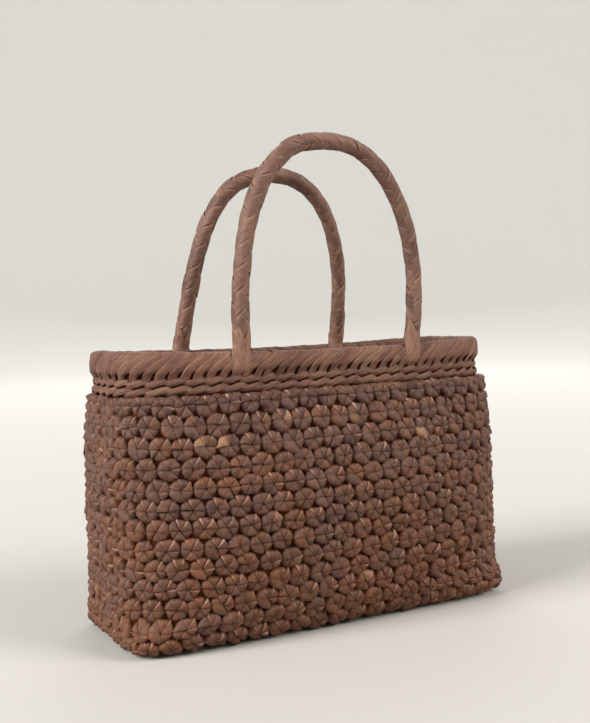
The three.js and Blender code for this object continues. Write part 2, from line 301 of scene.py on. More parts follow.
def bark(name, palette, edge_colour, rough, streaks, gloss):
    """Strips of aged vine bark: matt brown with fibres along the strip and paler cut edges.

    Each strip's attribute holds its tone, its brightness and where its cut edge is, and its UV map
    holds millimetres across and along the strip. The tone, shifted by the fibres, by small blotches
    and by broad weathered patches, picks the colour, so neighbouring strips differ as real ones do.
    Fibres also darken the furrows between them. Streaks says how strongly they shift the tone and
    darken. Roughness goes with the fibres between its two values, fibres and blotches make the surface
    uneven, and gloss is how far it reflects the lights.
    """
    material = bpy.data.materials.new(name)
    material.use_nodes = True
    tree = material.node_tree
    tree.nodes.clear()
    strip = add_node(tree, "ShaderNodeAttribute", attribute_name="strip")
    parts = add_node(tree, "ShaderNodeSeparateColor", {"Color": strip.outputs["Color"]})
    uv = add_node(tree, "ShaderNodeUVMap", uv_map="strip_mm")
    fibre_place = add_node(tree, "ShaderNodeMapping", {
        "Vector": uv.outputs["UV"],
        "Scale": (1 / GRAIN_WIDTH, 1 / GRAIN_LENGTH, 1.0),
    })
    fibre = add_node(tree, "ShaderNodeTexNoise", {
        "Vector": fibre_place.outputs["Vector"],
        "Scale": 1.0,
        "Detail": 4.0,
        "Roughness": 0.65,
    })
    place = add_node(tree, "ShaderNodeTexCoord")
    blotch, patch = (
        add_node(tree, "ShaderNodeTexNoise", {
            "Vector": place.outputs["Object"], "Scale": 1 / (size * MM), "Detail": 4.0,
        })
        for size in (BLOTCH_SIZE, PATCH_SIZE)
    )
    tone = parts.outputs["Red"]
    for pattern, share in ((fibre, streaks), (blotch, BLOTCH_SHARE), (patch, PATCH_SHARE)):
        centred = add_node(tree, "ShaderNodeMath", {
            0: pattern.outputs["Fac"], 1: 0.5,
        }, operation="SUBTRACT")
        tone = add_node(tree, "ShaderNodeMath", {
            0: centred.outputs[0], 1: share, 2: tone,
        }, operation="MULTIPLY_ADD").outputs[0]
    ramp = add_node(tree, "ShaderNodeValToRGB", {"Fac": tone})
    stops = ramp.color_ramp.elements
    while len(stops) < len(palette):
        stops.new(0.5)
    for stop, (position, colour) in zip(stops, palette):
        stop.position = position
        stop.color = linear(colour)
    furrow = add_node(tree, "ShaderNodeMapRange", {
        "Value": fibre.outputs["Fac"],
        "From Min": 0.36,
        "From Max": 0.6,
        "To Min": 1 - FURROW_DARKER * streaks,
        "To Max": 1 + RIDGE_LIGHTER * streaks,
    })
    level = add_node(tree, "ShaderNodeMath", {
        0: parts.outputs["Green"], 1: furrow.outputs["Result"],
    }, operation="MULTIPLY")
    lit = add_node(tree, "ShaderNodeVectorMath", {
        0: ramp.outputs["Color"], "Scale": level.outputs[0],
    }, operation="SCALE")
    colour = add_node(tree, "ShaderNodeMixRGB", {
        "Fac": parts.outputs["Blue"], "Color1": lit.outputs["Vector"], "Color2": linear(edge_colour),
    })
    roughness = add_node(tree, "ShaderNodeMapRange", {
        "Value": fibre.outputs["Fac"], "To Min": rough[0], "To Max": rough[1],
    })
    uneven = add_node(tree, "ShaderNodeMath", {
        0: blotch.outputs["Fac"], 1: BLOTCH_RELIEF, 2: fibre.outputs["Fac"],
    }, operation="MULTIPLY_ADD")
    relief = add_node(tree, "ShaderNodeBump", {
        "Height": uneven.outputs[0], "Strength": 0.9, "Distance": GRAIN_HEIGHT * MM,
    })
    shader = add_node(tree, "ShaderNodeBsdfPrincipled", {
        "Base Color": colour.outputs["Color"],
        "Roughness": roughness.outputs["Result"],
        "Normal": relief.outputs["Normal"],
        "Specular IOR Level": gloss,
    })
    add_node(tree, "ShaderNodeOutputMaterial", {"Surface": shader.outputs["BSDF"]})
    return material


# Colours by tone. Knots go from purplish dark bark to fox brown and pale weathered bark, and the strips of
# neck, rim and handles are greyer. The inner layer is painted dark: a painted shade for the shade that
# light hardly reaches.
KNOT_PALETTE = (
    (0.0, "#40251a"), (0.16, "#4d342d"), (0.3, "#563b31"), (0.44, "#5b3c2b"), (0.58, "#603a27"),
    (0.74, "#624029"), (1.0, "#7a5a44"),
)
STRIP_PALETTE = (
    (0.0, "#432b21"), (0.3, "#614338"), (0.6, "#6f5041"), (0.8, "#745944"), (1.0, "#8a6c4f"),
)
# Painted shade: the inner layer's palette is dark so that it reads as the shade in the holes between the
# knots.
PAINTED_SHADE_PALETTE = ((0.0, "#38190f"), (1.0, "#562f1f"))
knotted_bark = bark(
    "knotted_vine_bark", KNOT_PALETTE, "#937060", rough=(0.46, 0.7), streaks=0.5, gloss=0.24)
painted_shade_bark = bark(
    "unlit_inner_vine_bark", PAINTED_SHADE_PALETTE, "#4a2a1e", rough=(0.8, 0.9), streaks=0.6, gloss=0.02)
twined_bark = bark(
    "twined_vine_bark", STRIP_PALETTE, "#7d6052", rough=(0.5, 0.75), streaks=0.7, gloss=0.2)
wrapped_bark = bark(
    "wrapped_vine_bark", STRIP_PALETTE, "#947560", rough=(0.5, 0.75), streaks=0.7, gloss=0.16)
braided_bark = bark(
    "braided_vine_bark", STRIP_PALETTE, "#8d705d", rough=(0.46, 0.7), streaks=0.5, gloss=0.3)


def make_piece(name, points, strip, uv, material, slot, *nodes, closed=False, flip=False):
    """Mesh of many grids: points as an array (copies, rows, columns, 3).

    Strip values (tone, brightness, cut edge) and uv (mm across and along the strip) are spread over the
    same grids. A face's outward side is where rows crossed with columns points. A closed grid joins its
    last column to its first, and a flipped one runs through its columns backwards.
    """
    copies, rows, columns = points.shape[:3]
    strip = np.broadcast_to(strip, (copies, rows, columns, 3))
    uv = np.broadcast_to(uv, (copies, rows, columns, 2))
    if flip:
        points, strip, uv = (array[:, :, ::-1] for array in (points, strip, uv))
    index = np.arange(rows * columns).reshape(rows, columns)
    if closed:
        index = np.concatenate([index, index[:, :1]], 1)
    corners = [index[:-1, :-1], index[1:, :-1], index[1:, 1:], index[:-1, 1:]]
    quads = np.stack(corners, -1).reshape(-1, 4)
    faces = (quads[None] + np.arange(copies)[:, None, None] * rows * columns).reshape(-1, 4)
    mesh = bpy.data.meshes.new(name)
    mesh.vertices.add(copies * rows * columns)
    mesh.vertices.foreach_set("co", (points * MM).astype(np.float32).ravel())
    mesh.loops.add(faces.size)
    mesh.loops.foreach_set("vertex_index", faces.astype(np.int32).ravel())
    mesh.polygons.add(len(faces))
    mesh.polygons.foreach_set("loop_start", np.arange(len(faces), dtype=np.int32) * 4)
    mesh.polygons.foreach_set("use_smooth", np.ones(len(faces), bool))
    colours = np.concatenate([strip, np.ones(strip.shape[:-1] + (1,))], -1)
    attribute = mesh.attributes.new("strip", "FLOAT_COLOR", "POINT")
    attribute.data.foreach_set("color", colours.astype(np.float32).ravel())
    layer = mesh.uv_layers.new(name="strip_mm")
    layer.data.foreach_set("uv", uv.reshape(-1, 2)[faces.ravel()].astype(np.float32).ravel())
    mesh.update(calc_edges=True)
    mesh.materials.append(material)
    piece = bpy.data.objects.new(name, mesh)
    bpy.context.scene.collection.objects.link(piece)
    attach(piece, "root")
    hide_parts(*nodes)


# Rings of a petal, from the middle of its flower to the outer end and down behind it: share of the
# radius, and lift.
RING_REACH, RING_LIFT = np.array([
    (0.05, -1.1),
    (0.26, -0.4),
    (0.52, 0.0),
    (0.76, -0.3),
    (0.91, -1.35),
    (0.99, -3.2),
    (0.96, -6.6),
]).T
# Columns of a petal, from the edge that is tucked under the petal before it to its own cut edge, which
# lies on the next one: angle in degrees, lift in a petal with a full fold, further lift in any petal,
# reach in a round and in a pointed petal, and where the pale cut edge is.
COLUMN_ANGLE, COLUMN_LIFT, COLUMN_TUCK, COLUMN_ROUND, COLUMN_POINTED, COLUMN_EDGE = np.array([
    (-14.0, -1.3, -0.9, 0.86, 0.86, 0.0),
    (2.0, -0.9, 0.0, 0.91, 0.92, 0.0),
    (16.0, -0.2, 0.0, 0.91, 0.85, 0.0),
    (32.0, 0.1, 0.0, 0.9, 0.83, 0.0),
    (46.0, -0.25, 0.0, 0.92, 0.88, 0.0),
    (56.0, -0.7, 0.0, 0.95, 0.99, 1.0),
    (61.0, -1.0, -1.3, 0.93, 0.96, 1.0),
]).T
# Rings and columns that the plainer petals inside and on the base have, and how flat they are.
PLAIN_GRID = dict(rings=slice(0, 5), columns=slice(0, 7, 2))
PLAIN_RELIEF = 0.8

# A flower's petals, counted from the one at the right, how far each shows its pale cut edge, and the upper
# ones, which come first and stand a step up, while the others stand a step down. The cut edge is real
# paler bark, but it is made strongest on the edges at the right and the top, as a painted highlight of the
# light from the upper left.
PETALS = 6
PETAL_ANGLE = 60.0
PETAL_CUT_AND_HIGHLIGHT = np.array([1.0, 1.0, 0.35, 0.2, 0.2, 0.8])
UPPER_PETALS = 3
UPPER_STEP = 0.35

# The petal that is wide in a share of the flowers, how much wider it is, and the step that it has then.
WIDE_PETAL = 3
WIDE_SHARE = 0.35
WIDE_STRETCH = 1.8
WIDE_STEP = 0.3

# How petals and flowers differ: turn in degrees, reach and size as shares, fold, height of single points
# and of petals, tilt about a middle angle, lean as a slope, and place in mm.
FLOWER_TURN_SPREAD, PETAL_TURN_LIMIT = 4.0, 7.0
REACH_SPREAD = 0.015
FLOWER_SIZE_SPREAD, PETAL_SIZE_SPREAD = 0.02, 0.04
FOLD_LOW, FOLD_HIGH = 0.4, 1.1
CRUMPLE_SPREAD = 0.24
STEP_MEAN, STEP_SPREAD, STEP_LOW, STEP_HIGH = -0.1, 0.3, -0.8, 0.4
TILT_SPREAD, TILT_MIDDLE, TILT_ANGLE = 0.35, 25.0, 30.0
LEAN_SPREAD = 0.06
PLACE_SPREAD = 0.3

# Brightness of petals and how much of a cut edge shows, the share of the radius from which a column's
# lift and its cut edge are whole, what is left of them in the middle, and the range in mm of a petal's
# random place in the fibre pattern.
PETAL_BRIGHT, PETAL_BRIGHT_SPREAD = 0.99, 0.08
CUT_SHOWN, CUT_SHOWN_SPREAD = 0.55, 0.35
LIFT_WHOLE_FROM, CUT_WHOLE_FROM, LEFT_IN_MIDDLE = 0.45, 0.5, 0.2
PETAL_GRAIN_RANGE = 900.0

TONE_MIDDLE = 0.42


def tones(shape, spread):
    """Random tones round the middle of the palette."""
    return np.clip(rng.normal(TONE_MIDDLE, spread, shape), 0.0, 1.0)


def petals(petal_tone, first=0, rings=slice(None), columns=slice(None)):
    """Petals of many flowers, as mm across, up and out of each flower's middle.

    A point at angle a and reach r lies at (r cos a, r sin a). Its reach is the ring's share of the
    radius, cut back by the column's reach the more the further out it lies. A round petal ends nearly
    evenly, and a pointed one reaches furthest at its cut edge, so that flowers meet in points and leave
    three-cornered holes. Its lift is the ring's plus the column's, which grows with the petal's fold and
    fades towards the middle. In some flowers the wide petal also covers the next one. Upper petals stand
    a step over the lower ones, and each flower leans and sits a little off its place. Tones over the
    palette's end make bright petals. Arrays are (flower, petal, ring, column).
    """
    flowers, count = petal_tone.shape
    of_flower = (flowers, 1, 1, 1)
    of_petal = (flowers, count, 1, 1)
    ring_reach, ring_lift = (row[rings, None] for row in (RING_REACH, RING_LIFT))
    angle, lift, tuck, rounded, pointed, edge = (
        row[None, columns]
        for row in (COLUMN_ANGLE, COLUMN_LIFT, COLUMN_TUCK, COLUMN_ROUND, COLUMN_POINTED, COLUMN_EDGE)
    )
    reach = rounded + rng.uniform(0.0, 1.0, of_petal) * (pointed - rounded)
    reach = reach + rng.normal(0.0, REACH_SPREAD, reach.shape)
    petal = (first + np.arange(count)).reshape(1, count, 1, 1)
    wide = (petal == WIDE_PETAL) & (rng.random(of_flower) < WIDE_SHARE)
    turned = rng.normal(0.0, FLOWER_TURN_SPREAD, of_flower)
    turned = turned + rng.uniform(-PETAL_TURN_LIMIT, PETAL_TURN_LIMIT, of_petal)
    around = np.radians(petal * PETAL_ANGLE + turned + angle * np.where(wide, WIDE_STRETCH, 1.0))
    size = rng.normal(1.0, FLOWER_SIZE_SPREAD, of_flower) * rng.normal(1.0, PETAL_SIZE_SPREAD, of_petal)
    out = FLOWER_RADIUS * size * ring_reach * (1 - (1 - reach) * ring_reach)
    fade = np.clip(ring_reach / LIFT_WHOLE_FROM, LEFT_IN_MIDDLE, 1.0)
    tilt = rng.normal(0.0, TILT_SPREAD, of_petal) * (angle - TILT_MIDDLE) / TILT_ANGLE
    fold = rng.uniform(FOLD_LOW, FOLD_HIGH, of_petal)
    upper = np.where(petal < UPPER_PETALS, UPPER_STEP, -UPPER_STEP)
    uneven = np.clip(rng.normal(STEP_MEAN, STEP_SPREAD, of_petal), STEP_LOW, STEP_HIGH)
    step = np.where(wide, WIDE_STEP, upper + uneven)
    height = ring_lift + (fold * lift + tuck + tilt) * fade + step
    height = height + rng.normal(0.0, CRUMPLE_SPREAD, height.shape)
    across, up = out * np.cos(around), out * np.sin(around)
    lean_across, lean_up = rng.normal(0.0, LEAN_SPREAD, (2, *of_flower))
    height = height + lean_across * across + lean_up * up
    across = across + rng.normal(0.0, PLACE_SPREAD, of_flower)
    up = up + rng.normal(0.0, PLACE_SPREAD, of_flower)
    tone = petal_tone.reshape(of_petal)
    bright = rng.normal(PETAL_BRIGHT, PETAL_BRIGHT_SPREAD, of_petal) + np.maximum(tone - 1.0, 0.0)
    # Painted highlight: pale cut edges show most on the right and upper petal edges, which face the light.
    shown = PETAL_CUT_AND_HIGHLIGHT[petal] * np.clip(rng.normal(CUT_SHOWN, CUT_SHOWN_SPREAD, of_petal), 0.0, 1.0)
    cut = edge * shown * np.clip(ring_reach / CUT_WHOLE_FROM, LEFT_IN_MIDDLE, 1.0)
    uv = stacked(
        np.radians(angle) * 0.5 * FLOWER_RADIUS + rng.uniform(0, PETAL_GRAIN_RANGE, of_petal),
        out + rng.uniform(0, PETAL_GRAIN_RANGE, of_petal),
    )
    return across, up, height, stacked(tone, bright, cut), uv


def add_knots(name, points, strip, uv, flip=False):
    """Piece of petals from arrays (flower, petal, ring, column, ...), where each petal is one grid."""
    sheets = (array.reshape(-1, *array.shape[2:]) for array in (points, strip, uv))
    make_piece(name, *sheets, knotted_bark, "knotted_bark", "basket_body", flip=flip)


# Tones of the flower rows: blur along a row, size of the wander that is left and spread from petal to
# petal, how far the bottom row is warmer and paler and the top row darker and greyer than the middle, and
# where pale petals begin, over what range, and their tone past the palette's end. The change from bottom
# to top is painted light: warm light thrown up from below and cooler light from above.
ROW_BLUR = np.array([1.0, 2.0, 3.0, 2.0, 1.0])
ROW_WANDER = 0.06
ROW_TONE_SPREAD = 0.04
ROW_PAINTED_LIGHT = 0.14
PALE_LIMIT, PALE_RANGE, PALE_TONE = 2.1, 0.5, 1.1


def row_tones():
    """Tones of every petal on the wall that wander along each row, as one strip makes several petals.

    Random values are blurred along the row. The few highest, over the pale limit, go past the end of
    the palette.
    """
    rough = rng.normal(0.0, 1.0, (FLOWER_ROWS, FLOWERS_ROUND, PETALS))
    middle = len(ROW_BLUR) // 2
    wander = sum(weight * np.roll(rough, k - middle, 1) for k, weight in enumerate(ROW_BLUR))
    wander /= np.linalg.norm(ROW_BLUR)
    pale = np.clip((wander - PALE_LIMIT) / PALE_RANGE, 0.0, 1.0)
    # Painted light: rows are warmer towards the bottom and greyer towards the top.
    painted_light = np.linspace(-ROW_PAINTED_LIGHT, ROW_PAINTED_LIGHT, FLOWER_ROWS).reshape(-1, 1, 1)
    mixed = tones(rough.shape, ROW_TONE_SPREAD) + ROW_WANDER * wander + painted_light
    return np.clip(mixed, 0.0, 1.0) * (1 - pale) + PALE_TONE * pale


def knot_places():
    """Turn and drop of every flower on the wall, row by row from the top."""
    row = np.arange(1, FLOWER_ROWS + 1)[:, None]
    drift = ROW_DRIFT_START - ROW_DRIFT * (row - 1)
    shift = np.where(row % 2 == 0, 0.5, 0.0)
    turn = (np.arange(FLOWERS_ROUND)[None] + drift + shift) / FLOWERS_ROUND
    above = np.maximum(LOOSE_ROW - row, 0) / (LOOSE_ROW - 1)
    height = BOTTOM_ROW_HEIGHT + (FLOWER_ROWS - row) * ROW_PITCH + TOP_SPREAD * above**SPREAD_POWER
    return turn, np.broadcast_to(wall.drop_of(height), turn.shape)


def on_wall(turn, drop, across, up, lift):
    """Puts petals on the wall: across runs round it, up runs against the drop, lift stands out of it.

    Flowers are stretched to the row's own step and pitch, so that they fill the wall.
    """
    girth = wall.girth_at(drop)
    wider = girth / FLOWERS_ROUND / FLOWER_STEP
    row_drop = knot_places()[1][:, 0]
    taller = np.interp(drop, row_drop, np.gradient(row_drop)) / FLOWER_PITCH
    turn, drop, girth, wider, taller = (
        a.reshape(-1, 1, 1, 1) for a in (turn, drop, girth, wider, taller)
    )
    return wall.at(turn + across * wider / girth, drop - up * taller, lift)


def add_wall_knots():
    """Flower rows outside, in two halves, and plainer rows of the same knots inside."""
    turn, drop = knot_places()
    tone = row_tones()
    side = np.cos(2 * np.pi * turn) > 0
    for name, half in (("front_knots", side), ("back_knots", ~side)):
        across, up, lift, strip, uv = petals(tone[half])
        add_knots(name, on_wall(turn[half], drop[half], across, up, lift), strip, uv)
    across, up, lift, strip, uv = petals(tone.reshape(-1, PETALS), **PLAIN_GRID)
    inside = on_wall(turn.ravel(), drop.ravel(), across, up, -WALL - PLAIN_RELIEF * lift)
    add_knots("inner_knots", inside, strip, uv, flip=True)


# Half row under the twining: how much lower it lies than a whole row would, and how far it is sunk.
SHOULDER_LOWER = 2.6
SHOULDER_SINK = 0.3
SHOULDER_TONE_SPREAD = 0.12


def add_shoulder_knots():
    """Lower petals of the row that goes in under the twining."""
    turn, drop = (a[0] for a in knot_places())
    turn = turn + 0.5 / FLOWERS_ROUND
    drop = drop - ROW_PITCH + SHOULDER_LOWER
    tone = tones((FLOWERS_ROUND, PETALS - UPPER_PETALS), SHOULDER_TONE_SPREAD)
    across, up, lift, strip, uv = petals(tone, first=UPPER_PETALS)
    add_knots("shoulder_knots", on_wall(turn, drop, across, up, lift - SHOULDER_SINK), strip, uv)


# Honeycomb of the base: rows, flowers in its longer rows, step and pitch, and height of its petals.
BASE_ROWS = 7
BASE_COLUMNS = 19
BASE_STEP = 15.0
BASE_PITCH = 14.2
BASE_LEVEL = 1.2
BASE_TONE_SPREAD = 0.06


def base_places():
    """Middles of a honeycomb of flowers that fills the base, where every second row is one shorter."""
    last_row, last_column = BASE_ROWS // 2, BASE_COLUMNS // 2
    row = np.arange(-last_row, last_row + 1)[:, None]
    column = np.arange(-last_column, last_column + 1)[None] + 0.5 * (row % 2)
    x, y = np.broadcast_arrays(column * BASE_STEP, row * BASE_PITCH)
    inside = column <= last_column
    return x[inside], y[inside]


def add_base_knots():
    """Flowers of the base, seen from below, and of the floor, seen from inside."""
    x, y = (places.reshape(-1, 1, 1, 1) for places in base_places())
    for name, level, way in (("base_knots", BASE_LEVEL, -1), ("floor_knots", FLOOR, 1)):
        tone = tones((len(x), PETALS), BASE_TONE_SPREAD)
        across, up, lift, strip, uv = petals(tone, **PLAIN_GRID)
        across, up = across * BASE_STEP / FLOWER_STEP, up * BASE_PITCH / FLOWER_PITCH
        points = stacked(x + across, y + up, level + way * PLAIN_RELIEF * lift)
        add_knots(name, points, strip, uv, flip=way < 0)


# Dark layer, whose colour is painted shade: drop of its top and height of its foot on the wall, rings on
# the wall and across the base, height across the base, offset from the neck line, reach into the rim,
# tone, brightness in the neck, where the painted shade is deeper, and millimetres of grain round it and
# from ring to ring.
BACKING_TOP, BACKING_FOOT = 2.0, 4.0
BACKING_RINGS, BACKING_BASE_RINGS = 40, 7
BACKING_BASE_HEIGHT = 3.6
BACKING_NECK_OFFSET, BACKING_IN_RIM = 1.5, 3.0
BACKING_TONE, BACKING_NECK_BRIGHT = 0.5, 0.5
BACKING_GRAIN_ROUND, BACKING_GRAIN_RING = 800.0, 4.0


def add_backing():
    """Dark inner layer of the wall that closes the holes between the knots; its dark colour is painted
    shade, the shade seen deep in the holes.

    Two rings stand in the neck, the next follow the wall at a fixed depth, and the last shrink evenly
    to the middle of the base.
    """
    turn = np.linspace(0.0, 1.0, 4 * FLOWERS_ROUND + 1)[:-1]
    drop = np.linspace(BACKING_TOP, wall.drop_of(BACKING_FOOT), BACKING_RINGS)
    upright = wall.at(turn[None], drop[:, None], -BACKING_DEPTH)
    shrink = np.linspace(1.0, 0.0, BACKING_BASE_RINGS + 1)[1:, None, None]
    across = upright[-1][None] * shrink
    across[..., 2] = BACKING_BASE_HEIGHT
    foot_ring = neck.at(turn, BACKING_NECK_OFFSET, STAKE_FOOT)
    rim_ring = neck.at(turn, BACKING_NECK_OFFSET, RIM_FOOT + BACKING_IN_RIM + neck.rise(turn))
    in_neck = np.stack([rim_ring, foot_ring])
    points = np.concatenate([in_neck, upright, across])[None]
    ring = np.arange(points.shape[1]).reshape(1, -1, 1)
    # Painted shade: the two rings in the neck are darker still, behind the stakes and twining.
    strip = stacked(BACKING_TONE, np.where(ring < len(in_neck), BACKING_NECK_BRIGHT, 1.0), 0.0)
    uv = stacked(turn * BACKING_GRAIN_ROUND, ring * BACKING_GRAIN_RING)
    make_piece("dark_backing", points, strip, uv, painted_shade_bark, "knotted_bark", "basket_body", closed=True)


# Stakes: place of the first one in steps, offset from the neck line, width, thickness, slant along the
# neck, reach into the rim, and looks.
STAKE_START = 0.25
STAKE_OFFSET = -0.8
STAKE_WIDTH, STAKE_WIDTH_SPREAD = 10.5, 0.1
STAKE_HALF_THICKNESS = 1.3
STAKE_SLANT, STAKE_SLANT_SPREAD = 1.5, 0.8
STAKE_IN_RIM = 5.0
STAKE_RINGS, STAKE_COLUMNS = 6, 10
STAKE_TONE_SPREAD, STAKE_BRIGHT = 0.1, 0.95
STAKE_GRAIN_STEP, STAKE_GRAIN_LENGTH = 40.0, 24.0


def add_stakes():
    """Flat upright stakes of the neck: a low ellipse carried from the shoulder into the rim."""
    stake = np.arange(STAKES_ROUND).reshape(-1, 1, 1) + STAKE_START
    turn = stake / STAKES_ROUND
    climb = np.linspace(0.0, 1.0, STAKE_RINGS).reshape(1, -1, 1)
    angle = circle(STAKE_COLUMNS)
    width = STAKE_WIDTH * rng.normal(1.0, STAKE_WIDTH_SPREAD, turn.shape)
    slant = rng.normal(STAKE_SLANT, STAKE_SLANT_SPREAD, turn.shape)
    across = 0.5 * width * np.cos(angle) + slant * (climb - 0.5)
    offset = STAKE_OFFSET + STAKE_HALF_THICKNESS * np.sin(angle)
    place = turn + across / neck.length
    top = RIM_FOOT + STAKE_IN_RIM + neck.rise(place)
    points = neck.at(place, offset, STAKE_FOOT + (top - STAKE_FOOT) * climb)
    strip = stacked(tones(turn.shape, STAKE_TONE_SPREAD), STAKE_BRIGHT, 0.0)
    uv = stacked(across + STAKE_GRAIN_STEP * stake, climb * STAKE_GRAIN_LENGTH)
    make_piece("neck_stakes", points, strip, uv, twined_bark, "twined_bark", "basket_body",
               closed=True, flip=True)


# Twining: turns round the neck, steps in a turn and columns of the section, swings of a strip out and up
# from the row's line, its half width and thickness, and tilt of its section in radians.
TWINE_TURNS = STAKES_ROUND // 2
TWINE_STEPS, TWINE_COLUMNS = 20, 12
TWINE_SWING_OUT, TWINE_SWING_UP = 1.5, 1.35
TWINE_HALF_WIDTH, TWINE_WIDTH_SPREAD = 2.25, 0.03
TWINE_HALF_THICKNESS, TWINE_THICKNESS_SPREAD = 1.0, 0.05
TWINE_TILT = 0.35
# Wobbles of a row up and down: size, waves round the neck, and shift between its two strips in radians.
TWINE_WOBBLES = ((0.25, 7, 1.0), (0.2, 17, 0.0))
# Looks of the strips: tone, brightness, and how pale their edges are, from which share of the half width.
TWINE_TONE_SPREAD = 0.07
TWINE_BRIGHT, TWINE_BRIGHT_SPREAD = 0.93, 0.05
TWINE_CUT, TWINE_CUT_FROM = 0.5, 0.8
TWINE_GRAIN_STEP = 30.0
# How far each row's own line lies outside the neck's.
LOWER_TWINE_LINE, UPPER_TWINE_LINE = 1.9, 0.9


def add_twining(name, node, foot, line):
    """Two strips twisted about the stakes in one row.

    The middle of a strip goes round the neck and at the same time round the row's own line, out and
    in by one swing and up and down by another, once for every two stakes. Its section is a flat
    ellipse that stays nearly upright. Both strips together make a cord that slants up to the right.
    Tone and brightness change once in every turn of a strip.
    """
    steps = TWINE_TURNS * TWINE_STEPS
    turn = (np.arange(steps + 1) / steps).reshape(1, -1, 1)
    strand = np.arange(2).reshape(-1, 1, 1)
    twist = TWINE_TURNS * turn + 0.5 * strand
    phase = 2 * np.pi * twist
    angle = circle(TWINE_COLUMNS)
    swing_out, swing_up = TWINE_SWING_OUT * np.cos(phase), TWINE_SWING_UP * np.sin(phase)
    tilt = TWINE_TILT * np.sin(phase)
    thin_out, thin_up = np.cos(tilt), np.sin(tilt)
    climb = TWINE_SWING_UP * 2 * np.pi * TWINE_TURNS / neck.length * np.cos(phase)
    lean = np.arctan(climb)
    wide = TWINE_HALF_WIDTH * np.cos(angle) * rng.normal(1.0, TWINE_WIDTH_SPREAD, phase.shape)
    thick = TWINE_HALF_THICKNESS * np.sin(angle) * rng.normal(1.0, TWINE_THICKNESS_SPREAD, phase.shape)
    wobble = sum(
        size * np.sin(2 * np.pi * waves * turn + shift * strand) for size, waves, shift in TWINE_WOBBLES
    )
    offset = line + swing_out + thin_out * thick - thin_up * wide * np.cos(lean)
    middle = foot + 0.5 * TWINE_HEIGHT + wobble
    height = middle + swing_up + thin_up * thick + thin_out * wide * np.cos(lean)
    place = turn - wide * np.sin(lean) * thin_out / neck.length
    points = neck.at(place, offset, height)
    lap = np.floor(twist + 0.25).astype(int) % TWINE_TURNS
    tone = tones((2, TWINE_TURNS), TWINE_TONE_SPREAD)[strand, lap]
    bright = rng.normal(TWINE_BRIGHT, TWINE_BRIGHT_SPREAD, (2, TWINE_TURNS))[strand, lap]
    to_edge = (np.abs(np.cos(angle)) - TWINE_CUT_FROM) / (1 - TWINE_CUT_FROM)
    strip = stacked(tone, bright, TWINE_CUT * np.clip(to_edge, 0.0, 1.0))
    uv = stacked(wide + TWINE_GRAIN_STEP * strand, turn * neck.length)
    make_piece(name, points, strip, uv, twined_bark, "twined_bark", node, closed=True)


# One wrap of the rim, from its tail behind the upper twining, up the outer face, over the top and down
# the inner face: height over the rim's foot, offset from the neck line, place along the rim, half width,
# and how much its edges stand out.
WRAP_HEIGHT, WRAP_OFFSET, WRAP_ALONG, WRAP_HALF_WIDTH, WRAP_RELIEF = np.array([
    (-6.0, 1.5, -9.6, 2.7, 0.6),
    (-2.6, 2.5, -8.9, 2.9, 0.8),
    (-0.4, 3.6, -7.9, 3.2, 1.0),
    (1.4, 4.6, -6.1, 4.1, 1.0),
    (3.2, 4.9, -3.6, 4.9, 1.0),
    (5.1, 4.9, -0.7, 5.3, 0.9),
    (7.1, 4.8, 2.6, 5.5, 0.6),
    (9.0, 4.3, 5.6, 5.5, 0.25),
    (10.8, 2.5, 7.4, 5.5, 0.3),
    (11.4, 0.0, 7.0, 5.5, 0.6),
    (10.8, -2.5, 5.0, 5.5, 0.6),
    (8.6, -4.5, 2.0, 5.5, 0.4),
    (4.4, -4.9, -2.5, 5.5, 0.7),
    (0.8, -4.4, -6.0, 5.0, 0.8),
    (-0.4, -2.4, -8.0, 4.0, 0.8),
]).T
# Its section, from the left edge to the right one: share of the half width, lift, and where the edge is.
WRAP_SIDE, WRAP_LIFT, WRAP_EDGE = np.array([
    (-1.0, -0.2, 1.0),
    (-0.93, 0.35, 1.0),
    (-0.8, 0.5, 0.0),
    (-0.45, 0.5, 0.0),
    (0.0, 0.35, 0.0),
    (0.5, 0.0, 0.0),
    (1.0, -0.6, 0.0),
]).T[:, None, None]
RIM_WRAPS = 86
WRAP_STEPS = 30
# Height over the rim's foot under which a wrap follows the rim's sweep less and less, and the range.
TAIL_BELOW, TAIL_RANGE = 9.5, 8.0
# Share by which a wrap's lower end is narrower at both ends of the bag, the share of the rim's sweep from
# which it narrows and the range, and the height under which it narrows and the range.
END_NARROWING, END_FROM, END_RANGE = 0.45, 0.72, 0.25
NARROW_BELOW, NARROW_RANGE = 2.5, 3.0
# How wraps differ: lift, width as a share, place, pale edge, tone and brightness, which falls by the inner
# shade between the neck line and the inner offset, and scale of the grain across a wrap.
WRAP_LIFT_SPREAD, WRAP_WIDTH_SPREAD, WRAP_PLACE_SPREAD = 0.2, 0.06, 0.4
WRAP_CUT, WRAP_CUT_SPREAD = 0.2, 0.2
WRAP_TONE_SPREAD = 0.12
WRAP_BRIGHT, WRAP_BRIGHT_SPREAD = 0.98, 0.06
INNER_SHADE, INNER_OFFSET = 0.2, 3.0
WRAP_GRAIN_WIDTH, WRAP_GRAIN_STEP = 0.6, 25.0
# Core under the wraps, painted dark as the shade in the gaps between them: power of its rounded section,
# depth, steps and columns, tone and brightness, and millimetres of grain to one radian.
RIM_POWER = 3.0
CORE_DEPTH = 0.7
CORE_STEPS, CORE_COLUMNS = 156, 18
CORE_TONE, CORE_BRIGHT = 0.1, 0.35
CORE_GRAIN = 6.0


